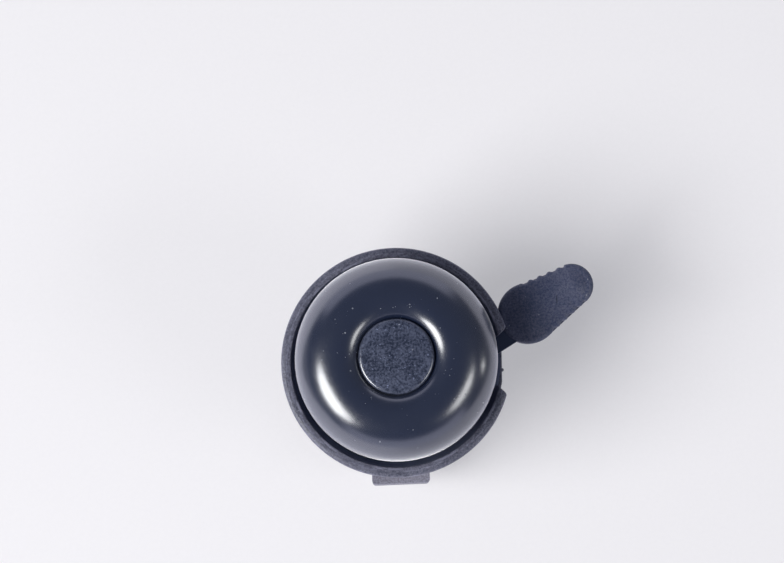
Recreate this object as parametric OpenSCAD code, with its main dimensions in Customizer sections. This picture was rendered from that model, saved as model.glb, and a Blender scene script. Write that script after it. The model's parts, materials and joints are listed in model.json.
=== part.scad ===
// Bicycle bell with a thumb lever, a geared rotor with loose strikers and a handlebar clamp.
// Millimetres. The origin is the centre of the handlebar bore, +X runs along the handlebar,
// +Z is the axis of the bell and -Y is the side of the clamp screw.

/* [Handlebar clamp] */
// Diameter of the handlebar that the clamp holds
bar_d = 22.2; // [20:0.1:25.4]
// Thickness of the rubber liner
liner_t = 1; // [0.6:0.1:2]
// Thickness of the clamp's ring
clamp_wall = 2.5; // [2:0.1:4]
// Width of the clamp along the handlebar
clamp_w = 12.6; // [12:0.1:18]
// Thickness of the clamp under the cup
saddle_t = 1.9; // [1.9:0.1:4]
// Slit between the clamp's ears
slit_w = 3; // [1.5:0.1:4]
// Thickness of each ear
ear_t = 4.5; // [4.2:0.1:7]
// Distance from the clamp's ring to the front of the ears
ear_reach = 10.8; // [10.6:0.1:15]
// Diameter of the clamp screw
screw_d = 4; // [3:0.1:4.4]
// Diameter of the bracket screws
bracket_screw_d = 2.5; // [2:0.1:2.6]

/* [Base cup] */
// Diameter over the rim of the cup
cup_d = 49.1; // [48.6:0.1:51]
// Width of the rim seen from above
rim_w = 2.2; // [1.8:0.1:2.4]
// Height of the cup from its underside to its rim
cup_h = 8.6; // [8.6:0.1:11]
// Thickness of the cup's floor
floor_t = 2; // [2:0.1:3]
// Amount that the cup narrows from its rim to its underside, on the radius
cup_taper = 1.8; // [1:0.1:2]
// Direction of the upper end of the gap in the rim
gap_hi = 10.5; // [8:0.5:15]
// Direction of the lower end of the gap in the rim
gap_lo = -14; // [-20:0.5:-12]

/* [Dome] */
// Diameter of the dome
dome_d = 42.6; // [42.4:0.1:43.2]
// Thickness of the dome
dome_t = 1; // [0.8:0.1:1.2]
// Gap between the cup's rim and the dome's rim
dome_gap = 4.8; // [3:0.1:5]
// Height of the upright skirt at the dome's rim
skirt_h = 4; // [3.8:0.1:6]
// Radius of the dome's shoulder
shoulder_r = 9.5; // [9:0.1:10]
// Radius of the roll from the crown into the recess
roll_r = 5; // [4.6:0.1:5.2]
// Depth of the recess below the crown
recess_depth = 3.2; // [3.1:0.1:3.6]
// Number of strike lugs inside the skirt
lug_count = 4; // [3:1:6]
// Distance of the lugs' inner faces from the bell's axis
lug_reach_r = 19.5; // [19.4:0.1:20]

/* [Center cap] */
// Gap between the cap's edge and the side of the recess
cap_gap = 0.24; // [0.2:0.01:0.8]
// Thickness of the cap's flange
cap_flange_t = 1.3; // [1:0.1:1.4]
// Depth of the cap's face below the dome's crown
cap_below = 0.3; // [0.1:0.1:0.4]

/* [Lever] */
// Distance of the lever's pivot from the bell's axis
pivot_r = 12.28; // [12:0.02:12.6]
// Direction of the lever's pivot from the bell's axis
pivot_a = 0; // [-2:0.5:2]
// Direction of the lever's arm at rest
lever_a = 30; // [28:0.5:32]
// Swing of the lever under the thumb
lever_travel = 28; // [20:1:30]
// Thickness of the lever
lever_t = 1.8; // [1.2:0.1:1.9]
// Width of the lever's arm
arm_w = 7.6; // [5:0.1:8]
// Diameter of the posts that carry lever and idler
post_d = 3; // [2.4:0.1:3.2]

/* [Thumb pad] */
// Amount of the pad that lies under the cup's rim
thumb_tuck = 0.8; // [0.2:0.1:0.9]
// Distance between the wide end and the tip, centre to centre
thumb_l = 11; // [9:0.1:15]
// Diameter of the wide end
thumb_d = 13.1; // [10:0.1:13.2]
// Diameter of the tip
tip_d = 9.3; // [7:0.1:10]
// Thickness of the wide end
thumb_t = 5; // [4.6:0.1:5.2]
// Thickness of the tip
tip_t = 5.8; // [5:0.1:7]
// Rise of the tip above the wide end, at mid thickness
tip_rise = 1.4; // [0:0.1:3]
// Radius of the pad's rounded edge
thumb_edge = 1.6; // [1:0.1:2]
// Number of grip grooves on each side
groove_count = 5; // [3:1:6]

/* [Gears] */
// Module of the lever's teeth
lever_m = 0.7; // [0.68:0.01:0.72]
// Teeth of the whole circle that the lever's sector is cut from
sector_z = 30; // [29:1:30]
// Teeth of the idler's pinion
pinion_z = 9; // [9:1:10]
// Module of the idler's wheel
wheel_m = 0.6; // [0.58:0.01:0.62]
// Teeth of the idler's wheel
wheel_z = 26; // [24:1:27]
// Teeth of the rotor's gear
rotor_z = 14; // [14:1:15]
// Play taken off each tooth at the pitch circle
backlash = 0.12; // [0.08:0.01:0.2]

/* [Rotor] */
// Diameter of the spindle in the rotor
spindle_d = 4.2; // [3.8:0.1:4.4]
// Distance of the striker pins from the bell's axis
orbit_r = 14.6; // [14:0.1:14.8]
// Diameter of the strikers
striker_d = 8.4; // [7.4:0.1:8.6]
// Thickness of the strikers
striker_t = 1.8; // [1.2:0.1:2]
// Diameter of the striker pins
pin_d = 2.8; // [2.4:0.1:3]
// Play of a striker on its pin, on each side
striker_play = 0.8; // [0.5:0.1:0.9]
// Width of the rotor's bar
rotor_w = 7; // [6.8:0.1:8]
// Thickness of the rotor's bar
rotor_t = 1.2; // [1:0.1:1.6]
// Direction of the rotor's bar at rest
rotor_a = 20; // [0:1:40]

/* [Hidden] */
$fn = 72;

// Clearances: round a piece that turns, under a piece that turns, round a screw, round a seated piece
run = 0.03;
rest = 0.1;
play = 0.2;
seat = 0.02;
// How far a cut runs past the face that it opens
over = 1;

// Colours
dark_metal = [0.09, 0.10, 0.13];
cup_grey = [0.30, 0.31, 0.36];
pad_grey = [0.24, 0.25, 0.29];
steel = [0.68, 0.69, 0.71];
brass = [0.78, 0.66, 0.38];
nylon = [0.88, 0.87, 0.82];
rubber = [0.10, 0.10, 0.11];

// Clamp
bar_r = bar_d / 2;
liner_r = bar_r + liner_t;
clamp_r = liner_r + clamp_wall;
saddle_z = liner_r + saddle_t;
saddle_half = 11.5;
ear_front = clamp_r + ear_reach;
ear_top = slit_w / 2 + ear_t;
ear_round = 0.8;
screw_inset = 5.7;
screw_y = screw_inset - ear_front;
screw_r = screw_d / 2;
screw_end = 0.8;
nut_r = screw_d * 1.75 / sqrt(3);
nut_t = screw_d * 0.8;
nut_z = ear_top - nut_t;
washer_t = 0.8;
head_r = screw_d * 0.95;
head_t = screw_d * 0.65;
washer_r = head_r + 0.8;
gusset_y = screw_y + washer_r + 2 * play;
gusset_h = 3;
bracket_screw_r = bracket_screw_d / 2;
bracket_screw_x = 4;
bracket_screw_y = 8.8;
bracket_screw_l = 6.5;
bracket_head_r = bracket_screw_d * 0.95;
bracket_head_t = 1.4;

// Cup
floor_z = saddle_z + floor_t;
rim_z = saddle_z + cup_h;
cup_r = cup_d / 2;
cup_foot_r = cup_r - cup_taper;
cup_floor_r = cup_foot_r + cup_taper * floor_t / cup_h;
rim_round = 0.8;
gap_flare = 3;
gap_round = 1;
flat_depth = 0.45;
slot_hi = lever_a - 2;
slot_lo = lever_a - lever_travel - 18.5;
slot_h = 3.8;
nib_a = -5.6;
nib_r = 0.35;
nib_h = 1.1;

// Lever and idler
boss_h = 0.5;
boss_r = 3;
hub_r = 4;
lever_z = floor_z + boss_h + rest;
lever_top = lever_z + lever_t;
post_r = post_d / 2;
post_end = 0.6;
pivot = polar(pivot_r, pivot_a);
pressure = 25;
addendum = 0.8;
dedendum = 1.05;
sector_r = lever_m * sector_z / 2;
pinion_r = lever_m * pinion_z / 2;
wheel_r = wheel_m * wheel_z / 2;
rotor_gear_r = wheel_m * rotor_z / 2;
lever_idler = sector_r + pinion_r;
idler_r = wheel_r + rotor_gear_r;
idler_cos = (pow(idler_r, 2) + pow(pivot_r, 2) - pow(lever_idler, 2)) / (2 * idler_r * pivot_r);
idler_a = pivot_a - acos(idler_cos);
idler = polar(idler_r, idler_a);
mesh_a = atan2(idler[1] - pivot[1], idler[0] - pivot[0]);
sector_step = 360 / sector_z;
sector_teeth = ceil(lever_travel / sector_step) + 2;
idler_z = lever_z - rest;
wheel_z0 = lever_top + 0.4;
wheel_t = 1.6;
wheel_top = wheel_z0 + wheel_t;
clip_t = 0.5;
clip_grip = 0.4;
clip_w = 1.6;
clip_mouth = 1.4;

// Thumb pad, placed along the arm so that its wide end reaches just under the cup's rim
thumb_r = thumb_d / 2;
tip_r = tip_d / 2;
arm = polar(1, lever_a);
pivot_along = pivot * arm;
thumb_from_axis = cup_r - thumb_tuck + thumb_r;
thumb_reach = sqrt(pow(thumb_from_axis, 2) - pow(pivot_r, 2) + pow(pivot_along, 2)) - pivot_along;
thumb_mid = floor_z + slot_h - rest - thumb_t / 2;
thumb_lean = asin((thumb_r - tip_r) / thumb_l);
arm_l = thumb_reach + thumb_l * 0.6;
groove_r = 0.8;
groove_depth = 0.45;
groove_pitch = thumb_l / groove_count;
pad_foot_t = 0.8;
pad_foot_edge = 0.4;
pad_foot_draft = 0.15;

// Return spring, between a peg on the floor and a catch on the lever
wire_r = 0.35;
coil_r = post_r + 1.1;
coil_pitch = 1.15;
coil_turns = 2;
coil_rings = 12;
leg_l = 7.2;
catch_r = 0.8;
catch_reach = 6;
catch_turn = acos((coil_r - catch_r - wire_r - seat) / catch_reach);
peg_a = 117.5;
coil_from = peg_a + catch_turn;
coil_to = lever_a - catch_turn + 360 * (coil_turns + 1);
coil_z = lever_top + rest + wire_r;
coil_rise = coil_pitch * (coil_to - coil_from) / 360;
coil_top = coil_z + coil_rise + wire_r;
peg_top = coil_z + 1;
coil_steps = round((coil_to - coil_from) / 360 * coil_rings);

// Dome
dome_r = dome_d / 2;
dome_z = rim_z + dome_gap;
shoulder_z = dome_z + skirt_h;
crown_z = shoulder_z + shoulder_r;
crown_ring_r = dome_r - shoulder_r;
roll_z = crown_z - roll_r;
recess_z = crown_z - recess_depth;
recess_fillet = 0.8;
fillet_z = recess_z + recess_fillet;
roll_end = acos((fillet_z - roll_z) / (roll_r + recess_fillet));
fillet_r = crown_ring_r - (roll_r + recess_fillet) * sin(roll_end);
lug_r = (dome_r - dome_t / 2 - lug_reach_r) / 2;
lug_z = dome_z + 1.2;
lug_h = 2.6;

// Dome fixing
grommet_t = 0.6;
grommet_r = 5;
spindle_r = spindle_d / 2;
spindle_foot_r = spindle_r + 0.4;
spindle_top = recess_z - dome_t - grommet_t;
foot_r = 8 / sqrt(3);
foot_t = 1.2;
dome_screw_r = 1.25;
dome_screw_l = 7;
dome_washer_t = 0.6;
dome_head_r = 2.4;
dome_head_t = 1.3;

// Cap
cap_top = crown_z - cap_below;
cap_low = cap_top - cap_flange_t;
cap_r = crown_ring_r - sqrt(pow(roll_r, 2) - pow(cap_low - roll_z, 2)) - cap_gap;
cap_spigot_r = fillet_r - 0.4;
cap_spigot_t = 1;
cap_bore_top = recess_z + dome_washer_t + dome_head_t + play;
cap_edge = 0.6;
cap_chamfer = 0.3;
dome_washer_r = cap_spigot_r - cap_spigot_t - seat;

// Rotor
rotor_low = lever_top;
rotor_gear_top = wheel_top + play;
rotor_bar_z = dome_z + play;
rotor_top = rotor_bar_z + rotor_t;
rotor_hub_r = 3.5;
spigot_r = 3;
spigot_flat = 4.9;
striker_z = rotor_top + 1.5 * rest;
pin_r = pin_d / 2;
pin_head_r = pin_r + striker_play + 0.6;
pin_head_t = 0.7;
pin_foot_r = pin_r + 0.7;
pin_foot_t = 0.5;
pin_top = striker_z + striker_t + 1.5 * rest;
sleeve_z = rotor_top + rest + clip_t;
sleeve_r = 4;

// Point at radius r in direction a
function polar(r, a) = [r * cos(a), r * sin(a)];

// Points on an arc about c from angle a0 to angle a1
function arc(c, r, a0, a1, n = 6) = [for (i = [0:n]) c + polar(r, a0 + (a1 - a0) * i / n)];

// Involute teeth: half the angle of a tooth at radius r, and the outline of the tooth in direction a
function involute(a) = tan(a) * 180 / PI - a;
function half_tooth(m, z, r) =
    let (p = m * z / 2, base = p * cos(pressure))
    (PI * m / 2 - backlash) / p * 90 / PI + involute(pressure) - involute(acos(base / max(r, base)));
function tooth(m, z, a, steps = 5) =
    let (p = m * z / 2,
         root = p - dedendum * m,
         tip = p + addendum * m,
         start = max(root, p * cos(pressure)),
         radii = concat([root], [for (i = [0:steps]) start + (tip - start) * i / steps]),
         last = len(radii) - 1)
    concat([for (r = radii) polar(r, a - half_tooth(m, z, r))],
           [for (i = [last:-1:0]) polar(radii[i], a + half_tooth(m, z, radii[i]))]);

// Gear with a tooth in direction a
module gear(m, z, a) {
    polygon([for (i = [0:z - 1]) each tooth(m, z, a + 360 * i / z)]);
}

module at(p, z = 0) {
    translate([p[0], p[1], z]) children();
}

module ring(r0, r1, h) {
    difference() {
        cylinder(r = r1, h = h);
        translate([0, 0, -over]) cylinder(r = r0, h = h + 2 * over);
    }
}

module hexagon(r, h) {
    cylinder(r = r, h = h, $fn = 6);
}

// Sheet bent around c between two angles
module bent_sheet(c, r0, r1, a0, a1) {
    translate(c) intersection() {
        difference() {
            circle(r = r1);
            circle(r = r0);
        }
        polygon([[0, 0], polar(2 * r1, a0), polar(3 * r1, (a0 + a1) / 2), polar(2 * r1, a1)]);
    }
}

// Open retaining clip that sits in the groove of a post of radius r
module clip(r, a) {
    mouth = r * clip_mouth;
    rotate([0, 0, a]) difference() {
        ring(r - clip_grip, r + clip_w, clip_t);
        translate([0, -mouth / 2, -over]) cube([r + clip_w + over, mouth, clip_t + 2 * over]);
    }
}

// Post from z0 up with the groove for its clip
module grooved_post(r, z0, groove_z, end) {
    difference() {
        translate([0, 0, z0]) cylinder(r = r, h = groove_z + clip_t + end - z0);
        translate([0, 0, groove_z]) ring(r - clip_grip, r + over, clip_t);
    }
}

// Cross recess for a screwdriver, cut down from z = 0
module cross_recess(size, depth) {
    for (a = [0, 90]) {
        rotate([0, 0, a]) translate([-size, -size / 5, -depth]) cube([2 * size, size * 0.4, depth + over]);
    }
}

module base_cup() {
    color(cup_grey) difference() {
        union() {
            difference() {
                rotate_extrude() cup_section();
                floor_flat();
            }
            at(pivot, saddle_z) cylinder(r = boss_r, h = floor_t + boss_h);
            at(idler, saddle_z) cylinder(r = boss_r, h = floor_t + boss_h - rest);
            at(pivot + polar(catch_reach, peg_a), saddle_z) cylinder(r = catch_r, h = peg_top - saddle_z);
            at(polar(cup_floor_r - nib_r, nib_a), floor_z - nib_h) cylinder(r = nib_r, h = 2 * nib_h);
        }
        rim_gap();
        lever_slot();
        translate([0, 0, saddle_z - over]) hexagon(foot_r + seat, foot_t + over);
        translate([0, 0, saddle_z]) cylinder(r = spindle_foot_r + seat, h = floor_t + over);
        for (p = [pivot, idler]) {
            at(p, saddle_z - over) cylinder(r = post_r, h = floor_t + 2 * over);
        }
        bracket_screw_places() bracket_screw_body();
    }
}

// Half section of the cup, with round edges at the foot and the rim
module cup_section() {
    inner_round = rim_round / 2;
    polygon(concat(
        [[0, saddle_z]],
        arc([cup_foot_r - rim_round, saddle_z + rim_round], rim_round, -90, -10),
        arc([cup_r - rim_round, rim_z - rim_round], rim_round, 0, 90),
        arc([cup_r - rim_w + inner_round, rim_z - inner_round], inner_round, 90, 180),
        [[cup_floor_r - rim_w, floor_z], [0, floor_z]]));
}

// Gap in the rim above the floor, wider at the outside
module rim_gap() {
    inner = cup_r - rim_w;
    near = inner - 4;
    far = cup_r + 4;
    flare = gap_flare / rim_w;
    translate([0, 0, floor_z]) linear_extrude(height = cup_h) difference() {
        polygon([polar(near, gap_lo + (inner - near) * flare),
                 polar(far, gap_lo - (far - inner) * flare),
                 polar(far * 1.2, 0),
                 polar(far, gap_hi + (far - inner) * flare),
                 polar(near, gap_hi - (inner - near) * flare)]);
        circle(r = near + 1);
    }
    for (s = [-1, 1]) gap_corner(s);
}

// Rounds the outer corner of the rim at one end of the gap
module gap_corner(s) {
    inner = cup_r - rim_w;
    edge_a = s > 0 ? gap_hi : gap_lo;
    from = polar(inner - 4, edge_a - s * 4 * gap_flare / rim_w);
    to = polar(cup_r + 4, edge_a + s * (rim_w + 4) * gap_flare / rim_w);
    along = (to - from) / norm(to - from);
    into = s * [-along[1], along[0]];
    start = from + into * gap_round;
    reach = cup_r - gap_round;
    middle = start + along * (sqrt(pow(start * along, 2) - start * start + reach * reach) - start * along);
    out = middle / reach;
    translate([0, 0, floor_z]) linear_extrude(height = cup_h) difference() {
        polygon([middle, middle - 2 * gap_round * into, middle + 2 * gap_round * (out - into),
                 middle + 2 * gap_round * out]);
        translate(middle) circle(r = gap_round * 1.03);
    }
}

// Flat on the edge of the floor in the gap
module floor_flat() {
    face = cup_floor_r - flat_depth;
    half = sqrt(pow(cup_floor_r, 2) - pow(face, 2));
    rotate([0, 0, (gap_hi + gap_lo) / 2]) translate([face, -half, saddle_z - over])
        cube([over, 2 * half, floor_t + 2 * over]);
}

// Slot under the rim that the arm swings in
module lever_slot() {
    far = cup_r + 6;
    translate([0, 0, floor_z]) linear_extrude(height = slot_h) difference() {
        polygon([[0, 0], polar(far, slot_lo), polar(1.1 * far, (slot_lo + slot_hi) / 2),
                 polar(far, slot_hi)]);
        circle(r = cup_foot_r - rim_w - 0.5);
    }
}

module bracket_screw_places() {
    for (s = [-1, 1]) {
        translate([s * bracket_screw_x, s * bracket_screw_y, floor_z]) children();
    }
}

module bracket_screw_body() {
    translate([0, 0, -bracket_head_t])
        cylinder(r1 = bracket_screw_r, r2 = bracket_head_r, h = bracket_head_t);
    translate([0, 0, -bracket_screw_l]) cylinder(r = bracket_screw_r, h = bracket_screw_l);
}

module bracket_screws() {
    color(steel) bracket_screw_places() difference() {
        bracket_screw_body();
        cross_recess(bracket_head_r * 0.6, bracket_head_t * 0.6);
    }
}

// Side view of the clamp, with the world's y to the right and z up
module clamp_outline() {
    difference() {
        union() {
            circle(r = clamp_r);
            translate([-saddle_half, 0]) square([2 * saddle_half, saddle_z]);
            polygon([[-ear_front, -ear_top], [gusset_y, -ear_top], [-saddle_half, -ear_top - gusset_h],
                     [-saddle_half, ear_top + gusset_h], [gusset_y, ear_top], [-ear_front, ear_top]]);
        }
        circle(r = liner_r);
        translate([-ear_front - over, -slit_w / 2]) square([ear_front + over, slit_w]);
        translate([-ear_front, saddle_z]) square([2 * ear_front, clamp_r]);
    }
}

// View of the clamp from above, with round corners at the ears
module clamp_plan() {
    half = clamp_w / 2;
    for (s = [-1, 1]) {
        translate([s * (half - ear_round), ear_round - ear_front]) circle(r = ear_round);
    }
    translate([ear_round - half, -ear_front]) square([clamp_w - 2 * ear_round, 2 * ear_round]);
    translate([-half, ear_round - ear_front]) square([clamp_w, ear_front + clamp_r]);
}

module clamp_bracket() {
    color(cup_grey) difference() {
        intersection() {
            rotate([90, 0, 90]) translate([0, 0, -clamp_w / 2])
                linear_extrude(height = clamp_w) clamp_outline();
            translate([0, 0, -2 * clamp_r]) linear_extrude(height = 4 * clamp_r) clamp_plan();
        }
        translate([0, screw_y, -clamp_r]) cylinder(r = screw_r + play, h = 2 * clamp_r);
        translate([0, screw_y, nut_z]) hexagon(nut_r + seat, clamp_r);
        bracket_screw_places() bracket_screw_body();
    }
}

module bar_liner() {
    color(rubber) difference() {
        rotate([0, 90, 0]) translate([0, 0, -clamp_w / 2]) ring(bar_r, liner_r, clamp_w);
        translate([-clamp_w, -clamp_r, -slit_w / 2]) cube([2 * clamp_w, clamp_r, slit_w]);
    }
}

module clamp_screw() {
    head_z = -ear_top - washer_t;
    rim_t = head_t * 0.6;
    color(steel) translate([0, screw_y, head_z]) difference() {
        union() {
            cylinder(r = screw_r, h = ear_top + screw_end - head_z);
            translate([0, 0, -rim_t]) cylinder(r = head_r, h = rim_t);
            translate([0, 0, -head_t]) cylinder(r1 = head_r * 0.7, r2 = head_r, h = head_t - rim_t);
        }
        translate([0, 0, -head_t]) mirror([0, 0, 1]) cross_recess(head_r * 0.55, head_t * 0.6);
    }
}

module clamp_washer() {
    color(steel) translate([0, screw_y, -ear_top - washer_t]) ring(screw_r + play, washer_r, washer_t);
}

module clamp_nut() {
    color(steel) translate([0, screw_y, nut_z]) difference() {
        hexagon(nut_r, nut_t);
        translate([0, 0, -over]) cylinder(r = screw_r + run, h = nut_t + 2 * over);
    }
}

// Post with a hexagonal foot that the floor holds, a shoulder under the rotor and a threaded end
module center_spindle() {
    clip_z = rotor_top + rest;
    color(steel) difference() {
        union() {
            translate([0, 0, saddle_z]) hexagon(foot_r, foot_t);
            translate([0, 0, saddle_z]) cylinder(r = spindle_foot_r, h = rotor_low - saddle_z);
            grooved_post(spindle_r, saddle_z, clip_z, spindle_top - clip_z - clip_t);
        }
        translate([0, 0, spindle_top - dome_screw_l]) cylinder(r = dome_screw_r, h = dome_screw_l + over);
    }
}

module dome_sleeve() {
    color(nylon) translate([0, 0, sleeve_z]) ring(spindle_r + seat, sleeve_r, spindle_top - sleeve_z);
}

module dome_grommet() {
    color(rubber) translate([0, 0, spindle_top]) ring(dome_screw_r + rest, grommet_r, grommet_t);
}

// Half section of the dome's sheet
module dome_section() {
    hole_r = dome_screw_r + rest;
    translate([dome_r - dome_t, dome_z]) square([dome_t, skirt_h]);
    bent_sheet([crown_ring_r, shoulder_z], shoulder_r - dome_t, shoulder_r, 0, 90);
    bent_sheet([crown_ring_r, roll_z], roll_r - dome_t, roll_r, 90, 90 + roll_end);
    bent_sheet([fillet_r, fillet_z], recess_fillet, recess_fillet + dome_t, 270, 270 + roll_end);
    translate([hole_r, recess_z - dome_t]) square([fillet_r - hole_r, dome_t]);
}

module dome() {
    color(dark_metal) {
        rotate_extrude() dome_section();
        for (i = [0:lug_count - 1]) {
            at(polar(lug_reach_r + lug_r, 360 * (i + 0.5) / lug_count), lug_z)
                cylinder(r = lug_r, h = lug_h);
        }
    }
}

module dome_washer() {
    color(steel) translate([0, 0, recess_z]) ring(dome_screw_r + rest, dome_washer_r, dome_washer_t);
}

module dome_screw() {
    head_z = recess_z + dome_washer_t;
    low_z = spindle_top - dome_screw_l;
    color(steel) difference() {
        union() {
            translate([0, 0, low_z]) cylinder(r = dome_screw_r, h = head_z - low_z);
            translate([0, 0, head_z]) cylinder(r = dome_head_r, h = dome_head_t);
        }
        translate([0, 0, head_z + dome_head_t]) cross_recess(dome_head_r * 0.6, dome_head_t * 0.7);
    }
}

// Mushroom cap that snaps over the dome's washer
module center_cap() {
    color(cup_grey) rotate_extrude() difference() {
        union() {
            polygon(concat(
                [[0, cap_low], [cap_r - cap_chamfer, cap_low], [cap_r, cap_low + cap_chamfer]],
                arc([cap_r - cap_edge, cap_top - cap_edge], cap_edge, 0, 90),
                [[0, cap_top]]));
            translate([0, recess_z]) square([cap_spigot_r, cap_low - recess_z]);
        }
        square([cap_spigot_r - cap_spigot_t, cap_bore_top]);
    }
}

// Places the children with the lever's pivot as their origin and its arm along +X
module on_lever() {
    at(pivot) rotate([0, 0, lever_a]) children();
}

module lever_outline() {
    first = mesh_a - lever_a - sector_step / 2;
    circle(r = hub_r);
    translate([0, -arm_w / 2]) square([arm_l, arm_w]);
    polygon(concat([[0, 0]],
        [for (i = [0:sector_teeth - 1]) each tooth(lever_m, sector_z, first + sector_step * i)]));
}

module thumb_lever() {
    color(dark_metal) on_lever() difference() {
        union() {
            translate([0, 0, lever_z]) linear_extrude(height = lever_t) lever_outline();
            translate([catch_reach, 0, lever_z]) cylinder(r = catch_r, h = coil_top + rest - lever_z);
        }
        translate([0, 0, lever_z - over]) cylinder(r = post_r + run, h = lever_t + 2 * over);
    }
}

// Flat pebble of radius r and thickness t with a round upper edge and a slightly narrower foot
module pebble(r, t) {
    edge = thumb_edge;
    rotate_extrude($fn = 40) polygon(concat(
        [[0, -t / 2]],
        arc([r - pad_foot_draft - pad_foot_edge, pad_foot_edge - t / 2], pad_foot_edge, -90, 0),
        arc([r - edge, t / 2 - edge], edge, 0, 90),
        [[0, t / 2]]));
}

module thumb_pad() {
    color(pad_grey) on_lever() difference() {
        hull() {
            translate([thumb_reach, 0, thumb_mid]) pebble(thumb_r, thumb_t);
            translate([thumb_reach + thumb_l, 0, thumb_mid + tip_rise]) pebble(tip_r, tip_t);
        }
        for (s = [-1, 1], i = [0:groove_count - 1]) grip_groove(s, i);
        translate([0, -arm_w / 2 - seat, lever_z - seat])
            cube([arm_l + seat, arm_w + 2 * seat, lever_t + 2 * seat]);
    }
}

// Groove i along the side s of the pad, above its foot
module grip_groove(s, i) {
    along = groove_pitch * (i + 0.9);
    across = s * (thumb_r + groove_r - groove_depth);
    share = along / thumb_l;
    foot = tip_rise * share - (thumb_t + (tip_t - thumb_t) * share) / 2 + pad_foot_t;
    translate([thumb_reach, 0, thumb_mid + foot]) rotate([0, 0, -s * thumb_lean])
        translate([along, across, 0]) cylinder(r = groove_r, h = 4 * thumb_t);
}

module lever_post() {
    color(steel) at(pivot) grooved_post(post_r, saddle_z, coil_top + rest, post_end);
}

module lever_clip() {
    color(steel) at(pivot, coil_top + rest) clip(post_r, 200);
}

// Wire of the return spring: a leg, the coil and the other leg
coil = [for (i = [0:coil_steps]) let (f = i / coil_steps, a = coil_from + (coil_to - coil_from) * f)
    [each polar(coil_r, a), coil_z + coil_rise * f]];
leg_from = coil[0] - [each polar(leg_l, coil_from + 90), 0];
leg_to = coil[coil_steps] + [each polar(leg_l, coil_to + 90), 0];
wire = concat([leg_from], coil, [leg_to]);
wire_gaps = [for (i = [0:coil_steps], j = [i + coil_rings / 2:coil_steps])
    norm(coil[i] - coil[j]) - 2 * wire_r];
echo(least_gap_of_spring = min(wire_gaps));

// Tube of radius r along the points of a path that never runs straight up
module tube(path, r, sides = 6) {
    last = len(path) - 1;
    up = [0, 0, 1];
    points = [for (i = [0:last])
        let (d = path[min(i + 1, last)] - path[max(i - 1, 0)],
             u = cross(up, d) / norm(cross(up, d)),
             v = cross(d, u) / norm(cross(d, u)))
        for (k = [0:sides - 1]) path[i] + r * (cos(360 * k / sides) * u + sin(360 * k / sides) * v)];
    walls = [for (i = [0:last - 1], k = [0:sides - 1])
        let (a = i * sides + k, b = i * sides + (k + 1) % sides)
        each [[a, a + sides, b], [b, a + sides, b + sides]]];
    start = [for (k = [0:sides - 1]) k];
    end = [for (k = [sides - 1:-1:0]) last * sides + k];
    polyhedron(points, concat([start], walls, [end]));
}

module return_spring() {
    color(steel) at(pivot) tube(wire, wire_r);
}

module idler_gear() {
    color(nylon) at(idler, idler_z) difference() {
        union() {
            linear_extrude(height = wheel_z0 - idler_z) gear(lever_m, pinion_z, mesh_a + 180);
            translate([0, 0, wheel_z0 - idler_z]) linear_extrude(height = wheel_t)
                gear(wheel_m, wheel_z, idler_a + 180);
        }
        translate([0, 0, -over]) cylinder(r = post_r + run, h = wheel_top - idler_z + 2 * over);
    }
}

module idler_post() {
    color(steel) at(idler) grooved_post(post_r, saddle_z, wheel_top + rest, post_end);
}

module idler_clip() {
    color(steel) at(idler, wheel_top + rest) clip(post_r, 100);
}

module spigot_outline() {
    rotate(rotor_a) intersection() {
        circle(r = spigot_r);
        square([2 * spigot_r, spigot_flat], center = true);
    }
}

module rotor_gear() {
    low = rotor_low + rest;
    color(nylon) difference() {
        union() {
            translate([0, 0, low]) linear_extrude(height = rotor_gear_top - low)
                gear(wheel_m, rotor_z, idler_a + 180 / rotor_z);
            translate([0, 0, rotor_gear_top]) cylinder(r = rotor_hub_r, h = rotor_bar_z - rotor_gear_top);
            translate([0, 0, rotor_bar_z]) linear_extrude(height = rotor_t) spigot_outline();
        }
        translate([0, 0, low - over]) cylinder(r = spindle_r + run, h = rotor_top - low + 2 * over);
    }
}

module pin_places() {
    for (a = [rotor_a, rotor_a + 180]) {
        at(polar(orbit_r, a)) children();
    }
}

module rotor_bar() {
    color(steel) translate([0, 0, rotor_bar_z]) linear_extrude(height = rotor_t) difference() {
        union() {
            rotate(rotor_a) square([2 * orbit_r, rotor_w], center = true);
            pin_places() circle(r = rotor_w / 2);
        }
        spigot_outline();
        pin_places() circle(r = pin_r);
    }
}

module rotor_clip() {
    color(steel) translate([0, 0, rotor_top + rest]) clip(spindle_r, 70);
}

module striker_pins() {
    foot_z = rotor_bar_z - pin_foot_t;
    color(steel) pin_places() {
        translate([0, 0, foot_z]) cylinder(r = pin_foot_r, h = pin_foot_t);
        translate([0, 0, foot_z]) cylinder(r = pin_r, h = pin_top - foot_z);
        translate([0, 0, pin_top]) cylinder(r = pin_head_r, h = pin_head_t);
    }
}

module striker(a) {
    color(brass) at(polar(orbit_r, a), striker_z) ring(pin_r + striker_play, striker_d / 2, striker_t);
}

module striker_a() {
    striker(rotor_a);
}

module striker_b() {
    striker(rotor_a + 180);
}

base_cup();
clamp_bracket();
bar_liner();
bracket_screws();
clamp_screw();
clamp_washer();
clamp_nut();
center_spindle();
dome_sleeve();
dome_grommet();
dome();
dome_washer();
dome_screw();
center_cap();
thumb_lever();
thumb_pad();
lever_post();
lever_clip();
return_spring();
idler_gear();
idler_post();
idler_clip();
rotor_gear();
rotor_bar();
rotor_clip();
striker_pins();
striker_a();
striker_b();
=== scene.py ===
import json
import math

import bmesh
import bpy
from mathutils import Matrix, Vector

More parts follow.
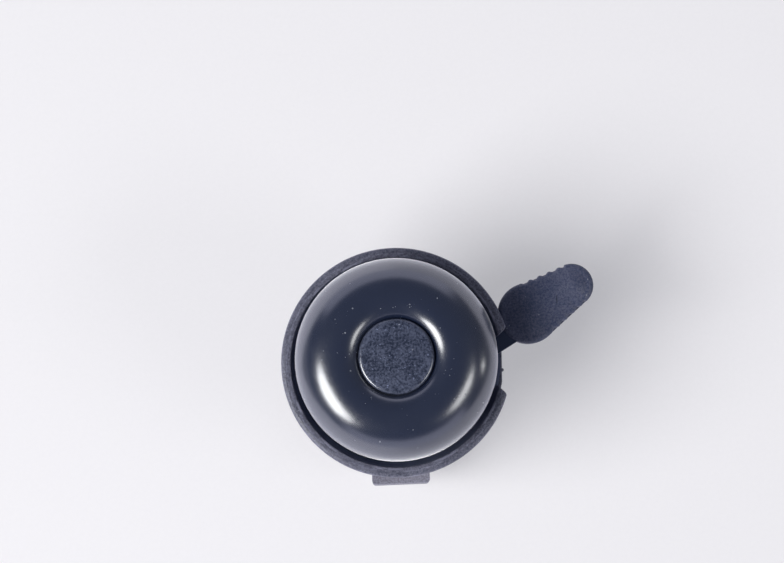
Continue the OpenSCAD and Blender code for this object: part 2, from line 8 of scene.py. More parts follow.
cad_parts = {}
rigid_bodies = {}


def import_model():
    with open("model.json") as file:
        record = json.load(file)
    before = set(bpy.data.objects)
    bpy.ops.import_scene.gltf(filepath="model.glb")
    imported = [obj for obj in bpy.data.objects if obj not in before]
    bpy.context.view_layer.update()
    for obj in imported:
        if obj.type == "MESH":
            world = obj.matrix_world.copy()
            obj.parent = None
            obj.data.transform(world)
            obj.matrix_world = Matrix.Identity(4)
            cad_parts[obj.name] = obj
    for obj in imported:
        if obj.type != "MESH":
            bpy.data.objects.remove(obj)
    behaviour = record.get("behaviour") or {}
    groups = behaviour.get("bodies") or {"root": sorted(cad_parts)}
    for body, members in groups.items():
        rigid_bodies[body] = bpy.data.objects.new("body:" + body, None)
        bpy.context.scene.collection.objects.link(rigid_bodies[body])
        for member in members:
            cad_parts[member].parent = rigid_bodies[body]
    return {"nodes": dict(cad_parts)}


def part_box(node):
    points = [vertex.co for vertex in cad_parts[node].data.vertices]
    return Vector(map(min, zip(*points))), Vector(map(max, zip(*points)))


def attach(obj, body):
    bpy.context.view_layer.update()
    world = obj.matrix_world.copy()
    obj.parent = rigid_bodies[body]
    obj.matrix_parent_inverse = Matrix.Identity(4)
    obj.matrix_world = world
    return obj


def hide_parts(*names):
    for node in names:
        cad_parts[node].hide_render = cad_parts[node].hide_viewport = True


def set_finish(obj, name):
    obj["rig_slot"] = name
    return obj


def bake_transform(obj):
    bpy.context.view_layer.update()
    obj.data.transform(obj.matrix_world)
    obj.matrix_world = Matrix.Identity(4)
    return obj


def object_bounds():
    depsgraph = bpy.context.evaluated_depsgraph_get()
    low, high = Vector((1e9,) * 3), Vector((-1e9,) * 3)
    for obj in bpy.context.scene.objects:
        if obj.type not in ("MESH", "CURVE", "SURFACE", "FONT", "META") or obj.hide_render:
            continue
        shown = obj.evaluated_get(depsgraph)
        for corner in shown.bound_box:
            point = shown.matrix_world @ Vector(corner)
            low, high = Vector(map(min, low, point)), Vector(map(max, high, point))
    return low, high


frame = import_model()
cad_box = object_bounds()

MM = 0.001

# Sizes of the solids that the pieces below stand for, in millimetres and degrees
dome_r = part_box("dome")[1].x / MM
dome_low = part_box("dome")[0].z / MM
crown_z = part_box("dome")[1].z / MM
dome_t, skirt_h, roll_r = 1.0, 4.0, 5.0
recess_depth, recess_fillet, dome_hole_r = 3.2, 0.8, 1.35
shoulder_r = crown_z - dome_low - skirt_h
recess_z = crown_z - recess_depth
lug_count, lug_reach_r, lug_h, lug_up = 4, 19.5, 2.6, 1.2
cap_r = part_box("center_cap")[1].x / MM
cap_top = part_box("center_cap")[1].z / MM
cap_flange, spigot_r, spigot_bore_r, bore_under_crown = 1.3, 6.3, 5.3, 1.1
pivot = Vector((12.28, 0.0))
lever_turn = 30.0
thumb_from_axis, thumb_l, thumb_r, tip_r = 30.3, 11.0, 6.55, 4.65
thumb_t, tip_t, tip_rise, thumb_edge, thumb_mid = 5.0, 5.8, 1.4, 1.6, 17.2
foot_t, foot_edge, foot_draft = 0.8, 0.4, 0.15
rib_count = 5
wire_r, coil_r, coil_z, coil_pitch, coil_turns, leg_l = 0.35, 2.6, 18.85, 1.15, 3, 7.2
peg_turn, catch_turn = 117.5, 76.212
bar_r, liner_r, clamp_half, slit_half = 11.1, 12.1, 6.3, 1.5
screw_y, screw_r, head_r = -19.7, 2.0, 3.8
head_top, head_low, screw_end = -6.8, -9.4, 6.8

# Radius of the small flat that closes a spun section at its axis
axis_r = 0.02


def polar(r, degrees):
    return Vector((r * math.cos(math.radians(degrees)), r * math.sin(math.radians(degrees))))


def arc(x, z, r, a0, a1, n):
    """Points (radius, height) on an arc about (x, z)."""
    return [Vector((x, z)) + polar(r, a0 + (a1 - a0) * i / n) for i in range(n + 1)]


def piece(name, points, faces, smooth=True):
    """A mesh object from points in millimetres, with its faces turned outward."""
    mesh = bpy.data.meshes.new(name)
    mesh.from_pydata([Vector(p) * MM for p in points], [], faces)
    work = bmesh.new()
    work.from_mesh(mesh)
    bmesh.ops.remove_doubles(work, verts=work.verts, dist=1e-7)
    bmesh.ops.recalc_face_normals(work, faces=work.faces)
    work.to_mesh(mesh)
    work.free()
    for face in mesh.polygons:
        face.use_smooth = smooth
    made = bpy.data.objects.new(name, mesh)
    bpy.context.scene.collection.objects.link(made)
    return made


def sheet(rows, cols, loop_rows=False, loop_cols=True):
    """Faces of rows by cols points, which may close on themselves both ways."""
    faces = []
    for i in range(rows if loop_rows else rows - 1):
        for j in range(cols if loop_cols else cols - 1):
            a, b, k = i * cols, (i + 1) % rows * cols, (j + 1) % cols
            faces.append((a + j, a + k, b + k, b + j))
    return faces


def capped(rows, cols):
    """Faces of a closed body whose first and last rows are filled."""
    last = (rows - 1) * cols
    return sheet(rows, cols) + [tuple(range(cols - 1, -1, -1)), tuple(range(last, last + cols))]


def spin(section, turns, at=(0, 0)):
    """Points of a section (radius, height) spun about an upright line."""
    angles = [2 * math.pi * j / turns for j in range(turns)]
    return [(at[0] + r * math.cos(a), at[1] + r * math.sin(a), z) for r, z in section for a in angles]


def join(made, *others):
    """Adds the meshes of other pieces to one piece."""
    work = bmesh.new()
    work.from_mesh(made.data)
    for other in others:
        work.from_mesh(other.data)
        bpy.data.objects.remove(other)
    work.to_mesh(made.data)
    work.free()
    return made


def carve(made, cutter):
    """Takes the cutter's shape out of a piece."""
    cut = made.modifiers.new("cut", "BOOLEAN")
    cut.object, cut.operation, cut.solver = cutter, "DIFFERENCE", "EXACT"
    shape = bpy.data.meshes.new_from_object(made.evaluated_get(bpy.context.evaluated_depsgraph_get()))
    made.modifiers.clear()
    made.data = shape
    bpy.data.objects.remove(cutter)
    return made


def soften(solid, width_mm):
    """Rounds the sharp edges of a solid as its mould or press would."""
    bevel = solid.modifiers.new("round_edges", "BEVEL")
    bevel.width, bevel.segments = width_mm * MM, 3
    bevel.limit_method, bevel.angle_limit = "ANGLE", math.radians(35)
    bevel.harden_normals, bevel.miter_outer = True, "MITER_ARC"


def fit(made, body, slot, *nodes):
    """Hangs a piece on its body in place of the solids that it stands for."""
    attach(made, body)
    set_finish(made, slot)
    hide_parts(*nodes)


def dome_section():
    """Half section of the pressed dome: top side out to the rim, then the underside back."""
    fillet_n, roll_n, shoulder_n, rim_n = 12, 40, 64, 12
    crown_r = dome_r - shoulder_r
    shoulder_z = dome_low + skirt_h
    roll_z = crown_z - roll_r
    fillet_z = recess_z + recess_fillet
    end = math.degrees(math.acos((fillet_z - roll_z) / (roll_r + recess_fillet)))
    fillet_r = crown_r - (roll_r + recess_fillet) * math.sin(math.radians(end))
    lip = dome_t / 2
    top = [(dome_hole_r, recess_z)] + arc(fillet_r, fillet_z, recess_fillet, 270, 270 + end, fillet_n)
    top += arc(crown_r, roll_z, roll_r, 90 + end, 90, roll_n)[1:]
    top += arc(crown_r, shoulder_z, shoulder_r, 90, 0, shoulder_n)[1:]
    rim = arc(dome_r - lip, dome_low + lip, lip, 0, -180, rim_n)
    under = arc(crown_r, shoulder_z, shoulder_r - dome_t, 0, 90, shoulder_n)
    under += arc(crown_r, roll_z, roll_r - dome_t, 90, 90 + end, roll_n)[1:]
    under += arc(fillet_r, fillet_z, recess_fillet + dome_t, 270 + end, 270, fillet_n)[1:]
    under += [(dome_hole_r, recess_z - dome_t)]
    return top + rim + under


def dome_shell():
    """The pressed dome, with the lugs inside its skirt that the strikers hit."""
    turns, lug_turns, lug_axis_r, lug_round = 256, 40, 0.01, 0.25
    section = dome_section()
    shell = piece("dome_shell", spin(section, turns), sheet(len(section), turns, loop_rows=True))
    lug_r = (dome_r - dome_t / 2 - lug_reach_r) / 2
    low, high = dome_low + lug_up, dome_low + lug_up + lug_h
    outline = [(lug_axis_r, low)] + arc(lug_r - lug_round, low + lug_round, lug_round, -90, 0, 5)
    outline += arc(lug_r - lug_round, high - lug_round, lug_round, 0, 90, 5) + [(lug_axis_r, high)]
    lugs = []
    for i in range(lug_count):
        at = polar(lug_reach_r + lug_r, 360 / lug_count * (i + 0.5))
        lugs.append(piece("lug", spin(outline, lug_turns, at), capped(len(outline), lug_turns)))
    return join(shell, *lugs)


def cap_button():
    """Mushroom cap with a low crown, a rounded edge and a hollow spigot."""
    crown, edge, chamfer, turns = 0.35, 0.7, 0.25, 160
    low, bore_top = cap_top - cap_flange, crown_z - bore_under_crown
    lean = math.degrees(math.atan(2 * crown / cap_r))
    start = polar(edge, 90 - lean)
    edge_from = cap_r - edge + start.x
    edge_z = cap_top - crown * (edge_from / cap_r) ** 2 - start.y
    radii = [axis_r] + [edge_from * i / 10 for i in range(1, 10)]
    section = [(r, cap_top - crown * (r / cap_r) ** 2) for r in radii]
    section += arc(cap_r - edge, edge_z, edge, 90 - lean, 0, 16)
    section += [(cap_r, low + chamfer), (cap_r - chamfer, low)]
    section += [(spigot_r + 0.1, low), (spigot_r, low - 0.1)]
    section += [(spigot_r, recess_z + 0.2), (spigot_r - 0.2, recess_z)]
    section += [(spigot_bore_r + 0.15, recess_z), (spigot_bore_r, recess_z + 0.15)]
    section += [(spigot_bore_r, bore_top), (axis_r, bore_top)]
    return piece("cap_button", spin(section, turns), capped(len(section), turns))


def thumb_outline():
    """Round the pad: how far along its middle line, direction outward and place along the ribbed side."""
    flank, end = 160, 64
    lean = math.degrees(math.asin((thumb_r - tip_r) / thumb_l))
    out = [(1.0, -(90 - lean) + (180 - 2 * lean) * i / end, None) for i in range(end)]
    out += [(1 - i / flank, 90 - lean, 1 - i / flank) for i in range(flank)]
    out += [(0.0, (90 - lean) + (180 + 2 * lean) * i / (2 * end), None) for i in range(2 * end)]
    out += [(i / flank, lean - 90, i / flank) for i in range(flank)]
    return out


def rib(along):
    """Depth of the valley between the pad's ribs at a place along its side."""
    first_valley, half_depth, last_half_depth = 0.9, 0.23, 0.19
    if along is None:
        return 0.0
    step = along * rib_count - first_valley
    near = abs(step - round(step)) if -0.5 < step < rib_count - 0.5 else 0.5
    half = last_half_depth if step > rib_count - 1.5 else half_depth
    return half * (1 + math.cos(2 * math.pi * near))


def thumb_grip():
    """Pad with a plain foot, ribbed sides above it and a crowned top."""
    crown, fade = 0.7, 0.35
    outline = thumb_outline()
    rows = [("low", f) for f in (0.02, 0.4, 0.8)] + [("foot", a) for a in range(-90, 1, 15)]
    rows += [("side", foot_t), ("side", foot_t + 0.1)] + [("edge", a) for a in (0, *range(9, 91, 9))]
    rows += [("top", f) for f in (0.98, 0.94, 0.88, 0.8, 0.7, 0.6, 0.5, 0.4, 0.3, 0.2, 0.1, 0.02)]
    along_arm = pivot.dot(polar(1, lever_turn))
    reach = math.sqrt(thumb_from_axis ** 2 - pivot.length_squared + along_arm ** 2) - along_arm
    turn = Matrix.Rotation(math.radians(lever_turn), 2)
    points = []
    for kind, v in rows:
        for t, a, along in outline:
            r = thumb_r + (tip_r - thumb_r) * t
            half = (thumb_t + (tip_t - thumb_t) * t) / 2
            mid = thumb_mid + tip_rise * t
            bend, valley = polar(1, v), rib(along)
            if kind == "low":
                out, z = (r - foot_draft - foot_edge) * v, mid - half
            elif kind == "foot":
                out = r - foot_draft - foot_edge * (1 - bend.x)
                z = mid - half + foot_edge * (1 + bend.y)
            elif kind == "side":
                draft = foot_draft * (1 - (v - foot_edge) / (2 * half - thumb_edge - foot_edge))
                out, z = r - draft - (valley if v > foot_t else 0.0), mid - half + v
            elif kind == "edge":
                out = r - thumb_edge * (1 - bend.x) - valley * (1 - fade * bend.y)
                z = mid + half - thumb_edge + (thumb_edge - crown) * bend.y
            else:
                out = (r - thumb_edge - valley * (1 - fade) * v ** 3) * v
                z = mid + half - crown * v * v
            flat = pivot + turn @ (Vector((reach + thumb_l * t, 0)) + polar(out, a))
            points.append((flat.x, flat.y, z))
    return piece("thumb_grip", points, capped(len(rows), len(outline)))


def spring_wire():
    """Two legs and the coil between them, from the floor's peg up to the lever's catch."""
    steps, sides = 150, 14
    first, last = peg_turn + catch_turn, lever_turn - catch_turn + 360 * coil_turns
    rise = coil_pitch * (last - first) / 360
    path = []
    for i in range(steps + 1):
        at = pivot + polar(coil_r, first + (last - first) * i / steps)
        path.append(Vector((at.x, at.y, coil_z + rise * i / steps)))
    path.insert(0, path[0] - polar(leg_l, first + 90).to_3d())
    path.append(path[-1] + polar(leg_l, last + 90).to_3d())
    points = []
    for i, p in enumerate(path):
        along = (path[min(i + 1, len(path) - 1)] - path[max(i - 1, 0)]).normalized()
        side = Vector((0, 0, 1)).cross(along).normalized()
        for k in range(sides):
            turn = polar(wire_r, 360 * k / sides)
            points.append(p + turn.x * side + turn.y * along.cross(side))
    made = piece("spring_wire", points, capped(len(path), sides))
    low, high = coil_z + wire_r, coil_z + rise - wire_r
    low * MM
    high * MM
    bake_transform(made)
    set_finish(made, "steel")
    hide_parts("return_spring")


def threaded_screw():
    """Pan head with a cross recess, plain neck and a cut thread."""
    pitch, thread_depth, thread_low, run_in, point = 0.7, 0.42, -2.0, 12, 0.5
    head_round, head_edge, turns, rows, neck_rows = 1.5, 0.2, 48, 260, 6
    section = [(axis_r, head_low)]
    section += arc(head_r - head_round, head_low + head_round, head_round, -90, -12, 10)
    section += [(head_r, head_low + head_round), (head_r, head_top - head_edge)]
    section += [(head_r - head_edge, head_top), (screw_r, head_top)]
    neck = thread_low - head_top
    section += [(screw_r, head_top + neck * i / neck_rows) for i in range(1, neck_rows + 1)]
    points = spin(section, turns, (0, screw_y))
    for i in range(1, rows + 1):
        z = thread_low + (screw_end - thread_low) * i / rows
        taper = point * (1 - min(1.0, (screw_end - z) / point))
        for j in range(turns):
            wave = abs(((z / pitch - j / turns) % 1) * 2 - 1)
            groove = thread_depth * min(1.0, max(0.0, wave * 1.4 - 0.2)) * min(1.0, i / run_in)
            at = polar(screw_r - groove - taper, 360 * j / turns)
            points.append((at.x, screw_y + at.y, z))
    made = piece("threaded_screw", points, capped(len(section) + rows, turns))
    blade, thick = 2.1, 0.42
    corners = [(blade, -thick), (blade, thick), (thick, thick)]
    for i in range(9):
        corners.append((-corners[i][1], corners[i][0]))
    ends = ((1.1, head_low - 1), (0.75, head_low + 1.5))
    cross = [(x * s, screw_y + y * s, z) for s, z in ends for x, y in corners]
    return carve(made, piece("cross", cross, capped(len(ends), len(corners)), smooth=False))


def ribbed_liner():
    """Split rubber ring with grip grooves along the bar."""
    turns, grooves, groove_depth, groove_width, plain_ends = 360, 30, 0.3, 0.35, 4
    edge = math.degrees(math.asin(slit_half / liner_r))
    angles = [180 + edge + (360 - 2 * edge) * j / turns for j in range(turns + 1)]
    across = [(-1, 0.25), (-0.97, 0.06), (-0.94, 0), (0.94, 0), (0.97, 0.06), (1, 0.25)]
    points = []
    for inside, (x, pull) in [(True, c) for c in across] + [(False, c) for c in reversed(across)]:
        for j, a in enumerate(angles):
            wave = abs((j * grooves / turns) % 1 - 0.5) * 2
            cut = plain_ends < j < turns - plain_ends
            groove = groove_depth * max(0.0, 1 - wave / groove_width) if cut else 0.0
            at = polar(bar_r + groove + pull if inside else liner_r - pull * 0.4, a)
            points.append((x * clamp_half, at.x, at.y))
    cols, rows = len(angles), 2 * len(across)
    faces = sheet(rows, cols, loop_rows=True, loop_cols=False)
    faces += [tuple(i * cols for i in range(rows))]
    faces += [tuple(i * cols + cols - 1 for i in range(rows - 1, -1, -1))]
    return piece("ribbed_liner", points, faces)


fit(dome_shell(), "base", "dome_metal", "dome")
fit(cap_button(), "base", "cap_plastic", "center_cap")
fit(thumb_grip(), "lever", "pad_plastic", "thumb_pad")
fit(threaded_screw(), "screw", "steel", "clamp_screw")
fit(ribbed_liner(), "base", "rubber", "bar_liner")
spring_wire()
edge_widths = {"base_cup": 0.22, "clamp_bracket": 0.35, "thumb_lever": 0.22, "clamp_washer": 0.15,
               "clamp_nut": 0.2, "rotor_bar": 0.15, "striker_a": 0.2, "striker_b": 0.2}
for name, width in edge_widths.items():
    soften(frame["nodes"][name], width)


class Value:
    """A number that changes over a surface; sums with it add Math nodes."""

    def __init__(self, finish, socket):
        self.finish, self.socket = finish, socket

    def maths(self, operation, *values):
        return self.finish.add("ShaderNodeMath", {"operation": operation}, dict(enumerate(values)))

    def __add__(self, other): return self.maths("ADD", self, other)
    def __radd__(self, other): return self.maths("ADD", other, self)
    def __sub__(self, other): return self.maths("SUBTRACT", self, other)
    def __rsub__(self, other): return self.maths("SUBTRACT", other, self)
    def __mul__(self, other): return self.maths("MULTIPLY", self, other)
    def __rmul__(self, other): return self.maths("MULTIPLY", other, self)
    def __abs__(self): return self.maths("ABSOLUTE", self)


class Finish:
    """The node tree of one material or of the world."""

    def __init__(self, owner):
        owner.use_nodes = True
        self.owner, self.tree = owner, owner.node_tree
        self.tree.nodes.clear()

    def add(self, kind, settings=None, sockets=None, out=0):
        """A node with its settings, then its socket values or links; gives one of its outputs."""
        node = self.tree.nodes.new(kind)
        for key, value in (settings or {}).items():
            setattr(node, key, value)
        for key, value in (sockets or {}).items():
            if isinstance(value, Value):
                self.tree.links.new(value.socket, node.inputs[key])
            else:
                node.inputs[key].default_value = (*value, 1) if node.inputs[key].type == "RGBA" else value
        return Value(self, node.outputs[out]) if len(node.outputs) else None

    def vector(self, operation, *values, out=0):
        return self.add("ShaderNodeVectorMath", {"operation": operation}, dict(enumerate(values)), out)

    def length(self, vector):
        return self.vector("LENGTH", vector, out="Value")

    def where(self):
        """Place on the object, in metres."""
        return self.add("ShaderNodeTexCoord", out="Object")

    def place(self, size_mm, stretch=(1, 1, 1)):
        """Place on the object, counted in steps of a size."""
        return self.vector("MULTIPLY", self.where(), [s / (size_mm * MM) for s in stretch])

    def from_axis(self):
        """Distance from the bell's axis."""
        return self.length(self.vector("MULTIPLY", self.where(), (1, 1, 0)))

    def ray(self, kind):
        """1 for rays of one kind, such as those of the camera, and 0 for others."""
        return self.add("ShaderNodeLightPath", out=kind)

    def rise(self, value, low, high):
        """0 below low and 1 above high, or the other way round."""
        return self.add("ShaderNodeMapRange", {"interpolation_type": "SMOOTHSTEP"},
                        {"Value": value, "From Min": low, "From Max": high})

    def beyond(self, from_mm, over_mm):
        """0 near the bell's axis, rising to 1 over a short way from a distance on."""
        return self.rise(self.from_axis(), from_mm * MM, (from_mm + over_mm) * MM)

    def within(self, to_mm, over_mm):
        """1 near the bell's axis, falling to 0 over a short way from a distance on."""
        return self.rise(self.from_axis(), (to_mm + over_mm) * MM, to_mm * MM)

    def noise_at(self, vector, detail, rough):
        return self.add("ShaderNodeTexNoise", None,
                        {"Vector": vector, "Scale": 1.0, "Detail": detail, "Roughness": rough}, "Fac")

    def noise(self, size_mm, detail=3, rough=0.5, stretch=(1, 1, 1)):
        return self.noise_at(self.place(size_mm, stretch), detail, rough)

    def specks(self, spacing_mm, share):
        """Small grains about a spacing apart, of which only a share shows."""
        grain = self.add("ShaderNodeTexVoronoi", None,
                         {"Vector": self.place(spacing_mm), "Scale": 1.0}, "Distance")
        shown = self.rise(self.noise(spacing_mm * 2.5, 3, 0.6), 0.66 - share, 0.72 - share)
        return self.rise(grain, 0.17, 0.07) * shown

    def rings(self, size_mm, drift):
        """Fine lines round the bell's axis, as turned in the mould."""
        steps = self.from_axis() * (1 / (size_mm * MM))
        return self.noise_at(self.add("ShaderNodeCombineXYZ", None, {0: steps, 1: drift * 5}), 2, 0.6)

    def mark(self, x, y, width_mm, length_mm):
        """A short mark along y, dark in its middle, seen from above."""
        aside = self.vector("SUBTRACT", self.place(1), (x, y, 0))
        scaled = self.vector("MULTIPLY", aside, (2 / width_mm, 2 / length_mm, 0))
        return self.rise(self.length(scaled), 1.0, 0.5)

    def mix(self, factor, a, b):
        return self.add("ShaderNodeMix", {"data_type": "RGBA"}, {0: factor, 6: a, 7: b}, 2)

    def mix_shaders(self, factor, a, b):
        return self.add("ShaderNodeMixShader", None, {0: factor, 1: a, 2: b})

    def normals(self, radius_mm, samples):
        """The surface's direction rolled over within a radius of its edges, and as it is."""
        rounded = self.add("ShaderNodeBevel", {"samples": samples}, {"Radius": radius_mm * MM})
        return rounded, self.add("ShaderNodeNewGeometry", out="Normal")

    def edges(self, radius_mm):
        """1 along edges where the surface turns within a radius, 0 on flats."""
        rounded, plain = self.normals(radius_mm, 4)
        return self.rise(self.vector("DOT_PRODUCT", rounded, plain, out="Value"), 0.99, 0.86)

    def rolled(self, radius_mm, from_mm):
        """The surface's direction, rolled over at edges beyond a distance from the axis."""
        rounded, plain = self.normals(radius_mm, 8)
        return self.add("ShaderNodeMix", {"data_type": "VECTOR"},
                        {0: self.beyond(from_mm, 0.3), 4: plain, 5: rounded}, 1)

    def bump(self, height, depth_mm, **more):
        return self.add("ShaderNodeBump", None,
                        {"Strength": 1.0, "Distance": depth_mm * MM, "Height": height, **more})

    def surface(self, **sockets):
        named = {key.replace("_", " "): value for key, value in sockets.items()}
        shader = self.add("ShaderNodeBsdfPrincipled", None, named)
        self.add("ShaderNodeOutputMaterial", None, {"Surface": shader})
        return self.owner


def finish(name):
    return Finish(bpy.data.materials.new(name))


def moulded_plastic(name, dark, light, grain_mm, rough, fleck, relief_mm, mottle=(7, 0.15),
                    shine_from=None, painted_shade_to=None, turned=0.0, rim_from=None, nick=None):
    """Dark plastic with a spark-eroded grain, pale flecks, dust, scuffs and rubbed edges.

    It may shine from a distance to the axis on, and take a painted shade tone up to one: a navy tone that
    stands in for the shade in the gap inside the cup. It may show lines turned in its mould, with a partly
    painted highlight tone along them, roll over at its rim and carry one dark mark.
    """
    # The navy inside tone is painted shade: it stands in for the shade in the gap between the dome and the
    # cup.
    dust_tone, painted_gap_shade_tone = (0.38, 0.39, 0.42), (0.105, 0.128, 0.215)
    pale = tuple(3.2 * c for c in light)
    patch_mm, patch_share = mottle
    f = finish(name)
    grain, fine, broad = f.noise(grain_mm, 3, 0.6), f.noise(grain_mm * 0.4, 2, 0.6), f.noise(patch_mm, 3, 0.5)
    dots = f.rise(f.noise(grain_mm * 0.9, 2, 0.7), 0.62, 0.76)
    scuffs = f.rise(f.noise(2.2, 5, 0.7, (1, 3, 1)), 0.58, 0.74)
    rubbed = f.edges(0.35) * f.noise(1.2, 3, 0.6)
    shine = f.beyond(shine_from, 0.4) if shine_from else 0.0
    worn = scuffs * 0.12 + rubbed * 0.35
    relief = (grain * 0.6 + fine * 0.4) * (1 - shine * 0.85)
    # The turned lines are real relief. The pale tone laid along them is a painted highlight, as where the
    # lines catch the light.
    if turned:
        rings = f.rings(0.55, broad) * turned
        # Here worn also carries that painted highlight along the turned lines, besides the scuffs and rubbed
        # edges.
        worn = worn + f.rise(rings, 0.52 * turned, 0.68 * turned) * 0.22
        relief = relief + rings
    blotches = grain * 0.6 + fine * 0.25 + (broad - 0.5) * patch_share + 0.075
    colour = f.mix(f.rise(blotches, 0.36, 0.64), dark, light)
    colour = f.mix(dots * fleck * (1 - shine), colour, pale)
    colour = f.mix(f.specks(1.1, 0.10) * 0.55, colour, dust_tone)
    colour = f.mix(worn, colour, pale)
    # Painted shade: the inside wall takes a navy tone that stands in for the shade in the gap under the dome.
    if painted_shade_to:
        colour = f.mix(f.within(painted_shade_to, 0.3) * 0.85, colour, painted_gap_shade_tone)
    if nick:
        colour = f.mix(f.mark(*nick) * f.rise(fine, 0.30, 0.50) * 0.8, colour, tuple(0.3 * c for c in dark))
    gloss = rough + (grain - 0.5) * 0.25 - scuffs * 0.06 - rubbed * 0.1 - shine * 0.08
    under = {"Normal": f.rolled(1.1, rim_from)} if rim_from else {}
    return f.surface(Base_Color=colour, Roughness=gloss, Coat_Weight=shine, Coat_Roughness=0.22, Coat_IOR=2.0,
                     Normal=f.bump(relief, relief_mm, **under))


def dome_lacquer():
    """Deep gloss lacquer with a faint orange peel, haze, a little dust and a sheen at grazing angles."""
    dust_tone = (0.36, 0.38, 0.42)
    f = finish("dome_lacquer")
    peel, cloud, haze = f.noise(1.8, 2, 0.4), f.noise(9, 3, 0.5), f.noise(3.5, 4, 0.6)
    dust = f.specks(1.3, 0.06) + f.specks(0.8, 0.10) * f.within(11, 3)
    base = f.mix(cloud, (0.006, 0.011, 0.030), (0.009, 0.015, 0.038))
    return f.surface(Base_Color=f.mix(dust * 0.6, base, dust_tone), IOR=2.15,
                     Sheen_Weight=1.0, Sheen_Roughness=0.30,
                     Roughness=0.19 + haze * 0.09 + dust * 0.4, Normal=f.bump(peel, 0.010))


def satin_coating():
    """Black coating on pressed steel, worn a little at its edges."""
    worn_tone = (0.10, 0.105, 0.12)
    f = finish("lever_coating")
    grain = f.noise(0.5, 3, 0.6)
    worn = f.edges(0.25) * f.rise(f.noise(1.5, 4, 0.6), 0.45, 0.7)
    base = f.mix(grain, (0.012, 0.021, 0.050), (0.020, 0.032, 0.072))
    return f.surface(Base_Color=f.mix(worn * 0.5, base, worn_tone),
                     Roughness=0.34 + grain * 0.2 - worn * 0.1, Normal=f.bump(grain, 0.015))


def bare_metal(name, dark, light, rough):
    """Plated or turned metal with brushing, stains and bright edges."""
    edge_tone = tuple(min(1, 1.25 * c) for c in light)
    f = finish(name)
    brushed, stain = f.noise(0.5, 4, 0.6, (1, 1, 6)), f.noise(4, 4, 0.6)
    bright = f.edges(0.15)
    tone = f.mix(f.rise(stain * 0.6 + brushed * 0.4, 0.3, 0.7), dark, light)
    return f.surface(Base_Color=f.mix(bright * 0.5, tone, edge_tone), Metallic=1.0,
                     Roughness=rough + brushed * 0.2 + f.rise(stain, 0.55, 0.8) * 0.12 - bright * 0.06,
                     Normal=f.bump(brushed, 0.008))


def soft_moulding(name, dark, light, rough, grain_mm, **more):
    """Nylon or rubber: an even, faintly mottled moulding."""
    f = finish(name)
    grain, broad = f.noise(grain_mm, 4, 0.6), f.noise(5, 3, 0.5)
    return f.surface(Base_Color=f.mix(grain * 0.6 + broad * 0.4, dark, light),
                     Roughness=rough + grain * 0.15, Normal=f.bump(grain, 0.02), **more)


finishes = {
    # cup_plastic carries painted shade: a navy tone on its inside wall stands in for the shaded gap under the
    # dome.
    "cup_plastic": moulded_plastic(
        "cup_plastic", (0.044, 0.047, 0.072), (0.150, 0.152, 0.200), grain_mm=0.40, rough=0.38,
        fleck=0.36, relief_mm=0.085, painted_shade_to=22.2, turned=1.8, rim_from=23.1),
    "clamp_plastic": moulded_plastic(
        "clamp_plastic", (0.128, 0.124, 0.159), (0.262, 0.255, 0.310), grain_mm=0.40, rough=0.44,
        fleck=0.10, relief_mm=0.05),
    "cap_plastic": moulded_plastic(
        "cap_plastic", (0.008, 0.013, 0.030), (0.078, 0.090, 0.137), grain_mm=0.50, rough=0.40,
        fleck=0.95, relief_mm=0.06, shine_from=cap_r - 0.8, mottle=(4, 0.36)),
    "pad_plastic": moulded_plastic(
        "pad_plastic", (0.025, 0.037, 0.080), (0.092, 0.097, 0.147), grain_mm=0.40, rough=0.46,
        fleck=0.18, relief_mm=0.06, nick=(34.9, 12.0, 0.36, 2.6)),
    "dome_metal": dome_lacquer(),
    "lever_metal": satin_coating(),
    "steel": bare_metal("zinc_steel", (0.42, 0.43, 0.44), (0.66, 0.67, 0.68), rough=0.22),
    "brass": bare_metal("turned_brass", (0.55, 0.38, 0.15), (0.80, 0.62, 0.30), rough=0.18),
    "nylon": soft_moulding(
        "nylon", (0.62, 0.60, 0.52), (0.80, 0.78, 0.70), rough=0.42, grain_mm=0.6,
        Subsurface_Weight=0.15, Subsurface_Radius=(0.002, 0.0018, 0.0014)),
    "rubber": soft_moulding("rubber", (0.012, 0.012, 0.013), (0.028, 0.028, 0.030), rough=0.68, grain_mm=0.3),
}
solids = {
    "cup_plastic": ["base_cup"],
    "clamp_plastic": ["clamp_bracket"],
    "lever_metal": ["thumb_lever"],
    "steel": ["bracket_screws", "clamp_washer", "clamp_nut", "center_spindle", "dome_washer", "dome_screw",
              "clamp_screw", "return_spring", "lever_post", "lever_clip", "idler_post", "idler_clip",
              "rotor_bar", "rotor_clip", "striker_pins"],
    "brass": ["striker_a", "striker_b"],
    "nylon": ["dome_sleeve", "idler_gear", "rotor_gear"],
    "rubber": ["dome_grommet", "bar_liner"],
    "dome_metal": ["dome"],
    "cap_plastic": ["center_cap"],
    "pad_plastic": ["thumb_pad"],
}
for slot, names in solids.items():
    for name in names:
        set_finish(frame["nodes"][name], slot)
for made in bpy.context.scene.objects:
    if "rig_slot" in made:
        made.data.materials.clear()
        made.data.materials.append(finishes[made["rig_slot"]])

# Floor under the lowest point: matte paper with an even glow for the camera, so it looks pale. In reflections
# it glows instead as a painted reflection, lighter at the left than at the right, and shows a dark sheet far
# out at the sides
floor_half, low = 3000, cad_box[0].z / MM
corners = [(x * floor_half, y * floor_half, low) for x, y in ((-1, -1), (1, -1), (1, 1), (-1, 1))]
floor = piece("floor", corners, [(0, 1, 2, 3)], smooth=False)
f = finish("pale_floor")
seen, mirrored = f.ray("Is Camera Ray"), f.ray("Is Glossy Ray")
aside, along = (f.add("ShaderNodeSeparateXYZ", None, {0: f.place(1)}, axis) for axis in "XY")
far = f.rise(abs(aside) - abs(along) * 1.5, 90.0, 200.0)
paper = f.mix(f.noise(0.8), (0.84, 0.82, 0.835), (0.88, 0.86, 0.875))
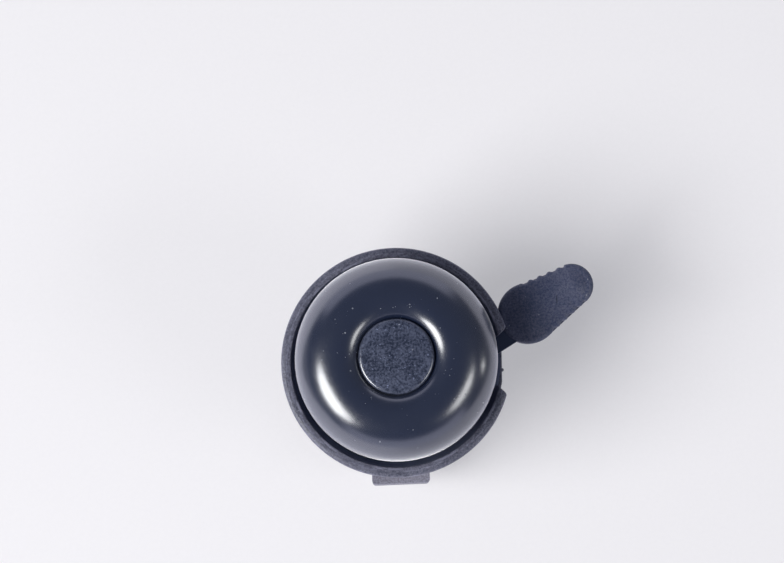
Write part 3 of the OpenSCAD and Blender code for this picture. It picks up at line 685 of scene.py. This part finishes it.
# Painted reflection: the floor glows in this tone for glossy rays only, lighter at the left than at the
# right.
painted_reflection_tone = f.mix(f.rise(aside, -90.0, 90.0), (0.85, 0.85, 1.0), (0.525, 0.53, 0.63))
matte = f.add("ShaderNodeBsdfPrincipled", None,
              {"Base Color": paper, "Roughness": 0.9, "Specular IOR Level": 0.0})
glow = f.add("ShaderNodeEmission", None, {"Color": (1.0, 0.99, 1.0), "Strength": 0.90})
painted_reflection_glow = f.add("ShaderNodeEmission", None, {"Color": painted_reflection_tone, "Strength": 1.5})
# Painted dark reflection: a dark sheet that only the dome's reflections see, far out at the sides.
dim = f.add("ShaderNodeBsdfPrincipled", None, {"Base Color": (0.10, 0.11, 0.14), "Roughness": 0.9})
lit = f.mix_shaders(0.35 * seen, matte, glow)
lit = f.mix_shaders(mirrored * 0.9, lit, painted_reflection_glow)
lit = f.mix_shaders(far * mirrored * 0.85, lit, dim)
f.add("ShaderNodeOutputMaterial", None, {"Surface": lit})
floor.data.materials.append(f.owner)

# Studio: pale walls low down in front and behind, dim above; they light less than they mirror
bpy.context.scene.world = bpy.data.worlds.new("studio")
w = Finish(bpy.context.scene.world)
way = w.add("ShaderNodeTexCoord", out="Generated")
side, across, height = (w.add("ShaderNodeSeparateXYZ", None, {0: way}, axis) for axis in "XYZ")
low_down = w.rise(0.41 + across * 0.06 - height, -0.04, 0.06)
front_and_back = w.rise(abs(across) * 1.1 - abs(side + across * 0.22), -0.08, 0.10)
walls = low_down * front_and_back * (0.32 + 0.68 * w.ray("Is Glossy Ray"))
shade = w.mix(walls, (0.118, 0.130, 0.175), (0.77, 0.79, 1.0))
w.add("ShaderNodeOutputWorld", None, {"Surface": w.add("ShaderNodeBackground", None, {"Color": shade})})

# The lamps and the camera stand by the picture, in which the bell is turned a little
picture_turn = -2.5
aim = Vector((0, 0, 0.03))


def softbox(name, azimuth, elevation, width, height, power, distance=1.4, roll=0,
            mirrored=True, lighting=True):
    """Oval lamp that looks at the bell; it may show only in mirror reflections, or only give light."""
    lamp = bpy.data.lights.new(name, "AREA")
    lamp.shape, lamp.size, lamp.size_y, lamp.energy = "ELLIPSE", width, height, power
    made = bpy.data.objects.new(name, lamp)
    flat = polar(math.cos(math.radians(elevation)), azimuth + picture_turn)
    back = Vector((flat.x, flat.y, math.sin(math.radians(elevation))))
    made.location = aim + back * distance
    turn = (-back).to_track_quat("-Z", "Y").to_matrix() @ Matrix.Rotation(math.radians(roll), 3, "Z")
    made.rotation_euler = turn.to_euler()
    made.visible_glossy, made.visible_diffuse = mirrored, lighting
    bpy.context.scene.collection.objects.link(made)


softbox("key_softbox", azimuth=207, elevation=36.5, width=1.04, height=0.64, power=15.8, lighting=False)
softbox("key_diffuser", azimuth=204, elevation=47, width=1.00, height=0.80, power=22.5, mirrored=False)
softbox("fill_softbox", azimuth=337, elevation=39, width=0.74, height=0.36, power=3.3, roll=-14)
softbox("side_strip", azimuth=358, elevation=7, width=0.05, height=0.14, power=0.13, distance=0.7)

camera_at, camera_tilt = Vector((-0.00091, -0.04033, 0.62035)), 5.5
camera = bpy.data.objects.new("camera", bpy.data.cameras.new("camera"))
bpy.context.scene.collection.objects.link(camera)
camera.data.sensor_width, camera.data.lens = 36, 129.2
camera.data.clip_start, camera.data.clip_end = 0.01, 20
camera.location = Matrix.Rotation(math.radians(picture_turn), 3, "Z") @ camera_at
camera.rotation_euler = (math.radians(camera_tilt), 0, math.radians(picture_turn))
bpy.context.scene.camera = camera
bpy.context.scene.view_settings.view_transform = "Standard"
